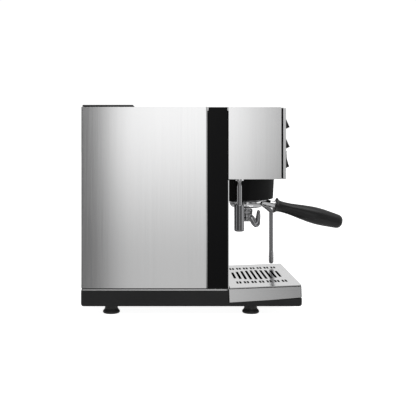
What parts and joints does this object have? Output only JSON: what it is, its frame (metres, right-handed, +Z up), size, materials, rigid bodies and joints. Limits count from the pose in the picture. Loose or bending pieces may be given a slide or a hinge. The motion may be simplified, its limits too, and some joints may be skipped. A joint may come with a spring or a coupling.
{
  "type": "espresso machine",
  "caption": "Single-group espresso machine in brushed steel on a black base, with a portafilter, steam wand, hot-water spout, slotted drip tray and rear water tank",
  "frame": {"origin": "on the table under the middle of the machine's outline, which runs from the rear panel to the end of the portafilter handle", "axes": "+Z up, the front with the portafilter faces -Y, the user's left is -X"},
  "size_m": [0.25, 0.5154, 0.39],
  "materials": {
    "stainless": "brushed",
    "black_base": "satin powder coat",
    "black_plastic": "fine moulded grain",
    "rubber": "matte",
    "chrome": "polished",
    "dark_chrome": "polished, smoked",
    "brass": "cast and turned",
    "copper": "drawn tube",
    "clear_plastic": "translucent",
    "smoked_lens": "polished",
    "nylon": "moulded",
    "circuit_board": "lacquered"
  },
  "bodies": {
    "frame": {"foot_screws": "stainless", "chassis_plate": "stainless", "left_side_panel": "stainless", "right_side_panel": "stainless", "rear_panel": "stainless", "top_cover": "stainless", "head_shell": "stainless", "front_panel": "stainless", "back_splash": "stainless", "tank_bulkhead": "stainless", "shower_screen": "stainless", "shower_screw": "stainless", "heating_elements": "stainless", "casing_screws": "stainless", "base_tub": "black_base", "group_cowl": "black_base", "left_column_strip": "black_plastic", "right_column_strip": "black_plastic", "front_seal": "black_plastic", "switch_frame": "black_plastic", "display_frame": "black_plastic", "tank_dock": "black_plastic", "water_pump": "black_plastic", "solenoid_valve": "black_plastic", "power_inlet": "black_plastic", "rubber_feet": "rubber", "base_seal": "rubber", "group_gasket": "rubber", "group_head": "chrome", "hot_water_collar": "chrome", "steam_collar": "chrome", "steam_valve_body": "brass", "brew_boiler": "brass", "steam_boiler": "brass", "water_pipes": "copper", "display_lens": "smoked_lens", "control_board": "circuit_board"},
    "tank": {"water_tank": "clear_plastic", "tank_outlet_valve": "nylon"},
    "tank_lid": {"tank_lid": "black_plastic"},
    "top_rocker": {"top_rocker": "black_plastic"},
    "middle_rocker": {"middle_rocker": "black_plastic"},
    "bottom_rocker": {"bottom_rocker": "black_plastic"},
    "up_button": {"up_button": "black_plastic"},
    "down_button": {"down_button": "black_plastic"},
    "steam_knob": {"steam_knob": "black_plastic", "steam_valve_stem": "stainless"},
    "portafilter": {"portafilter_body": "chrome", "filter_basket": "stainless", "basket_spring": "stainless", "twin_spout": "chrome", "handle_grip": "black_plastic"},
    "hot_water_spout": {"hot_water_tube": "chrome", "hot_water_sleeve": "dark_chrome"},
    "steam_swivel": {"steam_swivel": "chrome"},
    "steam_wand": {"steam_wand": "chrome", "steam_tip": "chrome"},
    "drip_tray": {"drip_tray": "stainless", "tray_liner": "black_plastic"},
    "tray_grate": {"tray_grate": "stainless"}
  },
  "joints": [
    {"name": "tank_lift", "type": "slide", "parent": "frame", "child": "tank", "axis": [0, 0, 1], "range_m": [0, 0.33]},
    {"name": "tank_lid_hinge", "type": "hinge", "parent": "tank", "child": "tank_lid", "pos_m": [0, 0.25357, 0.3881], "axis": [-1, 0, 0], "range_deg": [0, 100]},
    {"name": "top_rocker_tilt", "type": "hinge", "parent": "frame", "child": "top_rocker", "pos_m": [-0.099, -0.12083, 0.3615], "axis": [1, 0, 0], "range_deg": [0, 24]},
    {"name": "middle_rocker_tilt", "type": "hinge", "parent": "frame", "child": "middle_rocker", "pos_m": [-0.099, -0.12083, 0.3245], "axis": [1, 0, 0], "range_deg": [0, 24]},
    {"name": "bottom_rocker_tilt", "type": "hinge", "parent": "frame", "child": "bottom_rocker", "pos_m": [-0.099, -0.12083, 0.2875], "axis": [1, 0, 0], "range_deg": [0, 22]},
    {"name": "up_button_press", "type": "slide", "parent": "frame", "child": "up_button", "axis": [0, 1, 0], "range_m": [0, 0.0012], "stiffness_N_per_m": 800, "springref_m": -0.0008},
    {"name": "down_button_press", "type": "slide", "parent": "frame", "child": "down_button", "axis": [0, 1, 0], "range_m": [0, 0.0012], "stiffness_N_per_m": 800, "springref_m": -0.0008},
    {"name": "steam_knob_turn", "type": "hinge", "parent": "frame", "child": "steam_knob", "pos_m": [0.078, -0.12283, 0.318], "axis": [0, -1, 0], "range_deg": [0, 270]},
    {"name": "portafilter_turn", "type": "hinge", "parent": "frame", "child": "portafilter", "pos_m": [0, -0.06333, 0.215], "axis": [0, 0, -1], "range_deg": [0, 45]},
    {"name": "hot_water_swing", "type": "hinge", "parent": "frame", "child": "hot_water_spout", "pos_m": [-0.11, -0.03733, 0.2495], "axis": [0, 1, 0], "range_deg": [0, 18]},
    {"name": "steam_swivel_turn", "type": "hinge", "parent": "frame", "child": "steam_swivel", "pos_m": [0.09, -0.09433, 0.238], "axis": [0, 0, 1], "range_deg": [-25, 100]},
    {"name": "steam_wand_tilt", "type": "hinge", "parent": "steam_swivel", "child": "steam_wand", "pos_m": [0.09, -0.09433, 0.238], "axis": [0, -1, 0], "range_deg": [0, 18]},
    {"name": "tray_slide", "type": "slide", "parent": "frame", "child": "drip_tray", "axis": [0, -0.9981, 0.061], "range_m": [0, 0.14]},
    {"name": "grate_lift", "type": "slide", "parent": "drip_tray", "child": "tray_grate", "axis": [0, 0.0384, 0.9993], "range_m": [0, 0.006]}
  ]
}
